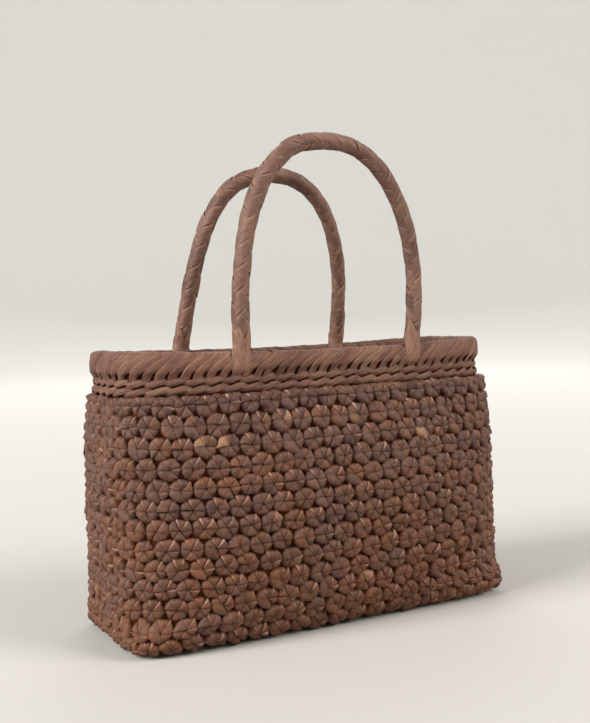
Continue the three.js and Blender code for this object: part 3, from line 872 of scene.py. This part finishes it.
def add_wraps():
    """Slanting strips wrapped over the rim.

    A strip's middle follows the wrap table: up to the right on the outer face, back over the top. Its
    section is set along the outward direction of that path, and its left edge lies on the strip before.
    Lower ends stay level with the twining, so strips are longer where the rim sweeps up, and there
    their lower ends are narrower and leave dark gaps.
    """
    wrap = np.arange(RIM_WRAPS).reshape(-1, 1, 1)
    height, offset, along, half, relief = through_table(
        (WRAP_HEIGHT, WRAP_OFFSET, WRAP_ALONG, WRAP_HALF_WIDTH, WRAP_RELIEF), WRAP_STEPS)
    out, up = np.gradient(height, axis=1), -np.gradient(offset, axis=1)
    scale = np.hypot(out, up)
    raised = WRAP_LIFT * relief + rng.normal(0.0, WRAP_LIFT_SPREAD, wrap.shape)
    sweep = neck.rise(wrap / RIM_WRAPS) / RIM_RISE
    near_end = np.clip((sweep - END_FROM) / END_RANGE, 0.0, 1.0)
    narrowed = 1 - END_NARROWING * near_end * np.clip((NARROW_BELOW - height) / NARROW_RANGE, 0.0, 1.0)
    width = half * narrowed * rng.normal(1.0, WRAP_WIDTH_SPREAD, wrap.shape)
    across = width * WRAP_SIDE
    moved = along + rng.normal(0.0, WRAP_PLACE_SPREAD, wrap.shape) + across
    place = wrap / RIM_WRAPS + moved / neck.length
    tail = np.clip((TAIL_BELOW - height) / TAIL_RANGE, 0.0, 1.0)
    level = RIM_FOOT + neck.rise(place) * (1 - tail) + height + raised * up / scale
    points = neck.at(place, offset + raised * out / scale, level)
    cut = WRAP_EDGE * relief * np.clip(rng.normal(WRAP_CUT, WRAP_CUT_SPREAD, wrap.shape), 0, 1)
    bright = rng.normal(WRAP_BRIGHT, WRAP_BRIGHT_SPREAD, wrap.shape)
    # Painted shade: wraps are darker on the inner face of the rim.
    bright = bright - INNER_SHADE * np.clip(-offset / INNER_OFFSET, 0.0, 1.0)
    strip = stacked(tones(wrap.shape, WRAP_TONE_SPREAD), bright, cut)
    steps = np.hypot(np.diff(height.ravel()), np.diff(along.ravel()))
    run = np.concatenate([[0.0], np.cumsum(steps)]).reshape(1, -1, 1)
    uv = stacked(across * WRAP_GRAIN_WIDTH + WRAP_GRAIN_STEP * wrap, run)
    make_piece("rim_wraps", points, strip, uv, wrapped_bark, "wrapped_bark", "rim_binding", flip=True)


def add_rim_core():
    """Dark core that the wraps cover, its dark colour a painted shade in the gaps between wraps: the rim's
    rounded section, made smaller, carried round the neck.

    The section is |offset / half thickness|^power + |height / half height|^power = 1.
    """
    turn = np.linspace(0.0, 1.0, CORE_STEPS + 1).reshape(1, -1, 1)
    angle = circle(CORE_COLUMNS)
    half_out, half_up = 0.5 * RIM_THICKNESS - CORE_DEPTH, 0.5 * RIM_HEIGHT - CORE_DEPTH
    c, s = np.cos(angle), np.sin(angle)
    offset = half_out * np.sign(c) * np.abs(c) ** (2 / RIM_POWER)
    height = 0.5 * RIM_HEIGHT + half_up * np.sign(s) * np.abs(s) ** (2 / RIM_POWER)
    core = neck.at(turn, offset, RIM_FOOT + neck.rise(turn) + height)
    strip = stacked(CORE_TONE, CORE_BRIGHT, 0.0)
    uv = stacked(angle * CORE_GRAIN, turn * neck.length)
    make_piece("rim_core", core, strip, uv, wrapped_bark, "wrapped_bark", "rim_binding", closed=True)


class HandleLine:
    """Centre line of a handle: a rounded arch in a leaning plane, with its own directions.

    At a share up the arch, the line leans along Y and its legs bow and sway. It starts a little over the
    rim, and both ends run on straight into it. Its direction is read across a short step.
    """

    steps = 4000
    over_rim = 1.5
    tail = 8.0
    short_step = 1.5

    def __init__(self, side, span, top, lean, power, bow, sway):
        foot = neck.at(neck.turn_of(span, side), 0.0, 0.0)
        start = RIM_FOOT + RIM_HEIGHT + RIM_RISE * (span / NECK_WIDTH) ** 2 + self.over_rim
        t = np.linspace(0.0, np.pi, self.steps + 1)
        c, s = np.cos(t), np.clip(np.sin(t), 0.0, 1.0)
        up = s ** (2 / power)
        out = np.sign(c) * np.abs(c) ** (2 / power)
        half_way = 4 * up * (1 - up)
        x = out * (span + bow * half_way) + sway * half_way
        points = np.column_stack([x, foot[1] + lean * up, start + (top - start) * up])
        self.lean = lean / (top - start)
        slope = np.array([0.0, self.lean, 1.0])
        slope /= np.linalg.norm(slope)
        ends = [points[:1] - self.tail * slope, points[-1:] - self.tail * slope]
        self.points = np.concatenate([ends[0], points, ends[1]])
        steps = np.linalg.norm(np.diff(self.points, axis=0), axis=1)
        self.reach = np.concatenate([[0.0], np.cumsum(steps)])
        self.length = self.reach[-1]
        self.front = np.array([0.0, -slope[2], slope[1]])

    def at(self, reach, angle, radius):
        """Points at a length along the line, an angle about it from its front, and a radius."""
        def read(length):
            return np.stack([np.interp(length, self.reach, self.points[:, k]) for k in range(3)], -1)

        along = read(reach + self.short_step) - read(reach - self.short_step)
        along /= np.linalg.norm(along, axis=-1, keepdims=True)
        sideways = np.cross(along, self.front)
        out = np.cos(angle)[..., None] * self.front + np.sin(angle)[..., None] * sideways
        return read(reach) + np.asarray(radius)[..., None] * out


# Strips of a braid: which way round each climbs, and the angle where it begins.
BRAID_WAY = np.array([1.0, 1.0, -1.0, -1.0]).reshape(-1, 1, 1)
BRAID_BEGIN = np.array([0.0, np.pi, 0.0, np.pi]).reshape(-1, 1, 1)
# Length of one turn of a strip, radius of its middle line, width, rise and fall of the weave, crown of the
# section, drop of its outermost points, and slow turn of the whole braid from the right to the left foot.
BRAID_PITCH = 31.0
BRAID_RADIUS = 5.1
BRAID_STRIP = 10.6
BRAID_WEAVE, BRAID_WEAVE_SPREAD = 0.72, 0.4
BRAID_CROWN = 0.35
BRAID_EDGE_DROP = 0.15
BRAID_TURN_LEFT = math.radians(26.0)
# Points across a strip, step along it, and how far its grid runs on past both ends of the line.
BRAID_SIDE = np.array([-1.0, -0.93, -0.6, 0.0, 0.6, 0.93, 1.0]).reshape(1, 1, -1)
BRAID_STEP = 1.6
BRAID_OVERRUN = 4.0
# Looks: count of lobes with random values of their own, tone, brightness, pale edge, and the grain's step
# from strip to strip and scale along a strip.
BRAID_LOBES = 96
BRAID_TONE_SPREAD = 0.12
BRAID_BRIGHT, BRAID_BRIGHT_SPREAD = 0.95, 0.11
BRAID_CUT, BRAID_CUT_FROM = 0.3, 0.9
BRAID_GRAIN_STEP, BRAID_GRAIN_LENGTH = 30.0, 1.4
# Core inside the strips, darker as painted shade in the gaps between them.
BRAID_CORE_DEPTH = 0.45
BRAID_CORE_STEPS, BRAID_CORE_COLUMNS = 160, 12
BRAID_CORE_TONE, BRAID_CORE_BRIGHT = 0.2, 0.6
BRAID_CORE_GRAIN = 4.0


def add_braid(name, node, line):
    """Four flat strips braided round a core.

    On the unrolled surface two strips climb one way round and two the other way. A strip's radius rises
    and falls twice in each turn, so that one pair lies on top at the front and back and the other pair at
    the sides, and its section is crowned. A lobe is where a strip lies once on top or once underneath.
    """
    tangent = 2 * np.pi * BRAID_RADIUS / BRAID_PITCH
    slant = math.atan(tangent)
    steps = int(line.length / BRAID_STEP)
    reach = np.linspace(-BRAID_OVERRUN, line.length + BRAID_OVERRUN, steps).reshape(1, -1, 1)
    across = 0.5 * BRAID_STRIP * BRAID_SIDE
    length = np.clip(reach - across * math.sin(slant), 0.0, line.length)
    angle = BRAID_WAY * (BRAID_BEGIN + (reach * tangent + across * math.cos(slant)) / BRAID_RADIUS)
    turned = np.abs(angle - BRAID_WAY * BRAID_BEGIN)
    lobe = np.floor(2 * turned / np.pi + 0.5).astype(int) % BRAID_LOBES
    strand = np.arange(len(BRAID_WAY)).reshape(-1, 1, 1)
    weave = rng.normal(1.0, BRAID_WEAVE_SPREAD, (len(BRAID_WAY), BRAID_LOBES))[strand, lobe]
    over = BRAID_WEAVE * BRAID_WAY * np.cos(2 * angle) * weave
    outermost = np.abs(BRAID_SIDE) == 1.0
    radius = BRAID_RADIUS + over + BRAID_CROWN * (1 - BRAID_SIDE**2) - BRAID_EDGE_DROP * outermost
    points = line.at(length, angle + BRAID_TURN_LEFT * length / line.length, radius)
    points = np.where(BRAID_WAY[..., None] > 0, points, points[:, :, ::-1])
    pairs = (len(BRAID_WAY), BRAID_LOBES // 2)
    tone = tones(pairs, BRAID_TONE_SPREAD)[strand, lobe // 2]
    bright = rng.normal(BRAID_BRIGHT, BRAID_BRIGHT_SPREAD, pairs)[strand, lobe // 2]
    strip = stacked(tone, bright, BRAID_CUT * (np.abs(BRAID_SIDE) > BRAID_CUT_FROM))
    uv = stacked(across + BRAID_GRAIN_STEP * strand, reach * BRAID_GRAIN_LENGTH)
    make_piece(name, points, strip, uv, braided_bark, "braided_bark", node)
    angle = circle(BRAID_CORE_COLUMNS)
    length = np.linspace(0.0, line.length, BRAID_CORE_STEPS).reshape(1, -1, 1)
    core = line.at(length, angle, BRAID_RADIUS - BRAID_CORE_DEPTH)
    # Painted shade: the core is darker than the strips.
    strip = stacked(BRAID_CORE_TONE, BRAID_CORE_BRIGHT, 0.0)
    uv = stacked(angle * BRAID_CORE_GRAIN, length)
    make_piece(name + "_core", core, strip, uv, braided_bark, "braided_bark", node, closed=True)


# Strap from the braid down one face of the rim: height over the rim's top, offset from the neck line,
# place along the rim and half width of its main strip, and of the strip beside and under it.
STRAP_ABOVE, STRAP_OFFSET, MAIN_PLACE, MAIN_HALF_WIDTH, SIDE_PLACE, SIDE_HALF_WIDTH = np.array([
    (17.0, 2.6, -4.0, 0.7, 4.0, 0.7),
    (13.0, 3.8, -3.7, 1.7, 3.7, 1.6),
    (9.0, 4.9, -3.0, 2.9, 3.4, 2.5),
    (5.0, 5.5, -1.8, 4.5, 3.4, 3.1),
    (1.0, 6.0, -0.5, 6.0, 3.3, 3.2),
    (-3.0, 6.4, 0.0, 6.5, 3.2, 3.2),
    (-6.5, 6.4, 0.0, 6.5, 3.2, 3.2),
    (-10.0, 6.0, -0.6, 6.1, 3.2, 3.0),
    (-12.5, 5.0, -1.4, 5.0, 3.2, 2.4),
    (-14.5, 2.6, -2.2, 3.4, 3.2, 1.6),
]).T
STRAP_STEPS, STRAP_COLUMNS = 26, 11
# Shift along the rim on the faces towards -Y and +Y, the height over the rim where it ends, and the share
# of their height over the rim that straps on the faces towards +Y climb.
NEAR_SHIFT, FAR_SHIFT, SHIFT_END = -2.4, 3.0, 12.0
FAR_CLIMB = 0.3
# Radius of the leg that straps bend round, the height over the rim from which they do so wholly, and the
# height from which their tips sink into it and the range.
LEG_RADIUS, HUG_HEIGHT = 6.6, 5.0
TIP_FROM, TIP_RANGE = 11.0, 6.0
# Drop of a strip's edges, how far the side strip lies under the main one, and looks.
STRAP_EDGE_DROP = 1.3
STRAP_OVERLAP = 0.45
STRAP_PALER, STRAP_TONE_SPREAD = 0.06, 0.05
STRAP_BRIGHT = 1.2
STRAP_CUT, STRAP_CUT_FROM = 0.25, 0.9
STRAP_GRAIN_STEP, FOOT_GRAIN_STEP = 20.0, 50.0


def add_straps(name, node, line, span, side):
    """Straps of both feet: on each face of the rim a main strip, and one beside and under it.

    A strip's middle line runs through the strap table, and above the rim it leans with the leg. Its
    section is flat with rounded edges on the rim and bends round the leg above it. Straps on the faces
    towards -Y sit a little further along -X than the legs, and those on the faces towards +Y further
    along +X, where they climb less far.
    """
    above, offset, *places = through_table(
        (STRAP_ABOVE, STRAP_OFFSET, MAIN_PLACE, MAIN_HALF_WIDTH, SIDE_PLACE, SIDE_HALF_WIDTH), STRAP_STEPS)
    foot = np.repeat([-1, 1], 4).reshape(-1, 1, 1)
    face = np.tile([1, 1, -1, -1], 2).reshape(-1, 1, 1)
    main = np.tile([True, False], 4).reshape(-1, 1, 1)
    middle = np.where(main, places[0], places[2])
    half = np.where(main, places[1], places[3])
    far = face * side > 0
    above = np.where(far & (above > 0), FAR_CLIMB * above, above)
    across = np.linspace(-1.0, 1.0, STRAP_COLUMNS).reshape(1, 1, -1)
    turn = np.array([neck.turn_of(span * sign, side) for sign in foot.ravel()]).reshape(-1, 1, 1)
    shift = -side * np.where(far, FAR_SHIFT, NEAR_SHIFT) * np.clip(1 - above / SHIFT_END, 0.0, 1.0)
    hug = np.clip(above / HUG_HEIGHT, 0.0, 1.0)
    along = shift + middle + half * across
    along = along + (np.clip(along, -LEG_RADIUS, LEG_RADIUS) - along) * hug
    top = RIM_FOOT + RIM_HEIGHT + neck.rise(turn)
    lean = side * line.lean * np.maximum(above, 0.0)
    flat = offset - STRAP_EDGE_DROP * np.abs(across) ** 3
    leg = LEG_RADIUS - np.clip((above - TIP_FROM) / TIP_RANGE, 0.0, 1.0)
    curved = np.sqrt(np.maximum(leg**2 - along**2, 0.0))
    lift = flat + (curved - flat) * hug - STRAP_OVERLAP * ~main
    points = neck.at(turn + along / neck.length, face * lift + lean, top + above)
    points = np.where(face[..., None] > 0, points[:, :, ::-1], points)
    tone = tones(foot.shape, STRAP_TONE_SPREAD) + STRAP_PALER
    strip = stacked(tone, STRAP_BRIGHT, STRAP_CUT * (np.abs(across) > STRAP_CUT_FROM))
    uv = stacked(half * across + STRAP_GRAIN_STEP * main, above + FOOT_GRAIN_STEP * foot)
    make_piece(name, points, strip, uv, braided_bark, "braided_bark", node)


add_backing()
add_wall_knots()
add_shoulder_knots()
add_base_knots()
add_stakes()
add_twining("twining_lower", "neck_twine_lower", TWINE_FOOT, LOWER_TWINE_LINE)
add_twining(
    "twining_upper", "neck_twine_upper", TWINE_FOOT + TWINE_HEIGHT + TWINE_GAP, UPPER_TWINE_LINE)
add_wraps()
add_rim_core()
for handle, sizes in HANDLES.items():
    centre_line = HandleLine(**sizes)
    add_braid(handle + "_braid", handle, centre_line)
    add_straps(handle + "_straps", handle, centre_line, sizes["span"], sizes["side"])


# Studio paper, in metres: radius of its flat part and of the bend round it, height of its upper edge,
# columns round it, and the distances from the bag where its near colour ends and its far colour begins.
PAPER_FLAT, PAPER_BEND, PAPER_TOP = 3.6, 3.0, 4.5
PAPER_FLAT_RINGS, PAPER_BEND_RINGS, PAPER_COLUMNS = 7, 11, 72
PAPER_NEAR, PAPER_FAR = 0.3, 3.5
PAPER_NEAR_COLOUR, PAPER_FAR_COLOUR = "#aba8a3", "#dddcd7"
PAPER_ROUGHNESS = 0.9


def add_backdrop():
    """Pale studio floor: flat round the bag, then a quarter circle up all round into an upright wall.

    The paper is a little darker near the bag, where the lamps are aimed, so that it isn't glaring.
    """
    flat = np.linspace(0.0, PAPER_FLAT, PAPER_FLAT_RINGS)
    turn = np.linspace(0.0, 0.5 * np.pi, PAPER_BEND_RINGS + 1)[1:]
    edge = PAPER_FLAT + PAPER_BEND
    radius = np.concatenate([flat, PAPER_FLAT + PAPER_BEND * np.sin(turn), [edge]])[:, None]
    height = np.concatenate([0 * flat, PAPER_BEND - PAPER_BEND * np.cos(turn), [PAPER_TOP]])[:, None]
    angle = circle(PAPER_COLUMNS)[0]
    points = stacked(radius * np.cos(angle), radius * np.sin(angle), height)
    rows, columns = points.shape[:2]
    index = np.arange(rows * columns).reshape(rows, columns)
    after = np.roll(index, -1, 1)
    faces = np.stack([index[:-1], index[1:], after[1:], after[:-1]], -1).reshape(-1, 4)
    mesh = bpy.data.meshes.new("studio_floor")
    mesh.from_pydata(points.reshape(-1, 3).tolist(), [], faces.tolist())
    mesh.shade_smooth()
    material = bpy.data.materials.new("matt_studio_paper")
    material.use_nodes = True
    tree = material.node_tree
    place = add_node(tree, "ShaderNodeTexCoord")
    away = add_node(tree, "ShaderNodeVectorMath", {0: place.outputs["Object"]}, operation="LENGTH")
    share = add_node(tree, "ShaderNodeMapRange", {
        "Value": away.outputs["Value"], "From Min": PAPER_NEAR, "From Max": PAPER_FAR,
    })
    colour = add_node(tree, "ShaderNodeMixRGB", {
        "Fac": share.outputs["Result"],
        "Color1": linear(PAPER_NEAR_COLOUR),
        "Color2": linear(PAPER_FAR_COLOUR),
    })
    shader = tree.nodes["Principled BSDF"]
    tree.links.new(colour.outputs["Color"], shader.inputs["Base Color"])
    shader.inputs["Roughness"].default_value = PAPER_ROUGHNESS
    mesh.materials.append(material)
    floor = bpy.data.objects.new("studio_floor", mesh)
    bpy.context.scene.collection.objects.link(floor)


# Lights: name, place and width in metres, power in watts, and colour. All look at the middle of the bag.
LIGHTS = (
    ("key_light", (-3.6, -0.35, 2.3), 1.8, 288.0, "#fdfcfb"),
    ("fill_light", (2.3, -2.5, 2.4), 2.2, 168.0, "#fff8f2"),
    ("back_light", (1.6, 2.8, 2.4), 2.4, 55.0, "#ffffff"),
)
LIGHT_TARGET = Vector((0.0, 0.0, 0.15))
SKY_COLOUR, SKY_STRENGTH = "#eff2f6", 0.54


def add_light(name, place, size, power, colour):
    """Square soft light that looks at the target."""
    lamp = bpy.data.lights.new(name, "AREA")
    lamp.size = size
    lamp.energy = power
    lamp.color = linear(colour)[:3]
    light = bpy.data.objects.new(name, lamp)
    away = Vector(place) - LIGHT_TARGET
    light.location = place
    light.rotation_euler = away.to_track_quat("Z", "Y").to_euler()
    bpy.context.scene.collection.objects.link(light)


def add_sky():
    """Even pale light from all round."""
    world = bpy.data.worlds.new("studio_sky")
    world.use_nodes = True
    background = world.node_tree.nodes["Background"]
    background.inputs["Color"].default_value = linear(SKY_COLOUR)
    background.inputs["Strength"].default_value = SKY_STRENGTH
    bpy.context.scene.world = world


# Camera of the photograph: its place in mm, turn to the right, pitch down and roll in degrees, and its
# focal length in pixels of a picture 590 wide and 723 high.
CAMERA_PLACE = np.array([-361.53, -660.7, 210.24])
CAMERA_TURN, CAMERA_PITCH, CAMERA_ROLL = 28.73, 2.24, -1.92
CAMERA_FOCAL = 1030.62
PICTURE_HEIGHT = 723
SENSOR = 36.0


def add_camera():
    """Camera whose axes come from its turn, pitch and roll."""
    turn, pitch, roll = np.radians([CAMERA_TURN, CAMERA_PITCH, CAMERA_ROLL])
    ahead = np.array([
        math.sin(turn) * math.cos(pitch), math.cos(turn) * math.cos(pitch), -math.sin(pitch),
    ])
    right = np.array([math.cos(turn), -math.sin(turn), 0.0])
    up = np.cross(right, ahead)
    matrix = np.eye(4)
    matrix[:3, 0] = right * math.cos(roll) + up * math.sin(roll)
    matrix[:3, 1] = -right * math.sin(roll) + up * math.cos(roll)
    matrix[:3, 2] = -ahead
    matrix[:3, 3] = CAMERA_PLACE * MM
    lens = bpy.data.cameras.new("photo_camera")
    lens.sensor_width = SENSOR
    lens.lens = CAMERA_FOCAL * SENSOR / PICTURE_HEIGHT
    camera = bpy.data.objects.new("photo_camera", lens)
    camera.matrix_world = Matrix(matrix.tolist())
    bpy.context.scene.collection.objects.link(camera)
    bpy.context.scene.camera = camera


add_backdrop()
for settings in LIGHTS:
    add_light(*settings)
add_sky()
add_camera()
bpy.context.scene.view_settings.view_transform = "Standard"
